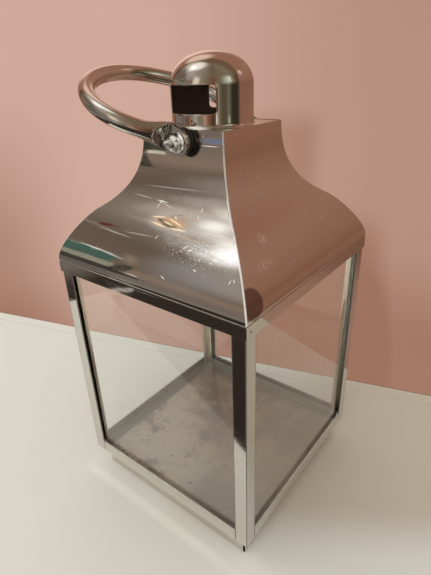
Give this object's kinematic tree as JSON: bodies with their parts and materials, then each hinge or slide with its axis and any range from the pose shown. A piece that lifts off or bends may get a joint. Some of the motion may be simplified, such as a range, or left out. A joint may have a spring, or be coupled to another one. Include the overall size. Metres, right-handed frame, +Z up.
{
  "type": "candle lantern",
  "caption": "Square glazed candle lantern of polished sheet steel on an inset plinth, with an ogee roof, a domed chimney cap, a swinging tube bail and a glazed rear door.",
  "frame": {"origin": "middle of the plinth pan's underside, on the surface that the lantern stands on", "axes": "+Z up to the chimney cap, -Y out of the glazed front, +X out of the right side, +Y out of the rear door; the bail turns about Y"},
  "size_m": [0.2155, 0.2105, 0.41],
  "materials": {
    "polished_steel": "mirror-polished stainless steel sheet",
    "plain_steel": "unpolished stainless steel",
    "tray_steel": "polished sheet dulled by wax and handling",
    "magnet_plating": "nickel plated",
    "black_plastic": "matt black",
    "clear_glass": "clear float glass"
  },
  "bodies": {
    "lantern": {"plinth_pan": "polished_steel", "base_tray": "tray_steel", "post_front_left": "polished_steel", "post_front_right": "polished_steel", "post_rear_left": "polished_steel", "post_rear_right": "polished_steel", "header_band": "polished_steel", "roof_front": "polished_steel", "roof_right": "polished_steel", "roof_rear": "polished_steel", "roof_left": "polished_steel", "neck_plate": "polished_steel", "chimney_cap": "polished_steel", "glass_front": "clear_glass", "glass_left": "clear_glass", "glass_right": "clear_glass", "inner_angle_front_left": "plain_steel", "inner_angle_front_right": "plain_steel", "inner_angle_rear_left": "plain_steel", "inner_angle_rear_right": "plain_steel", "hinge_pin_bottom": "plain_steel", "hinge_pin_top": "plain_steel", "door_magnet": "magnet_plating", "pivot_bolt_front": "plain_steel", "pivot_bolt_rear": "plain_steel", "pivot_washer_front": "polished_steel", "pivot_washer_rear": "polished_steel", "pivot_nut_front": "polished_steel", "pivot_nut_rear": "polished_steel", "pivot_spacer_front": "black_plastic", "pivot_spacer_rear": "black_plastic"},
    "bail": {"bail": "polished_steel"},
    "door": {"door_frame": "polished_steel", "door_glass": "clear_glass", "door_knob": "polished_steel"}
  },
  "joints": [
    {"name": "bail_swing", "type": "hinge", "parent": "lantern", "child": "bail", "pos_m": [0.004, 0, 0.349], "axis": [0, 1, 0], "range_deg": [-54, 190]},
    {"name": "door_hinge", "type": "hinge", "parent": "lantern", "child": "door", "pos_m": [-0.0952, 0.09775, 0], "axis": [0, 0, 1], "range_deg": [0, 110]}
  ]
}
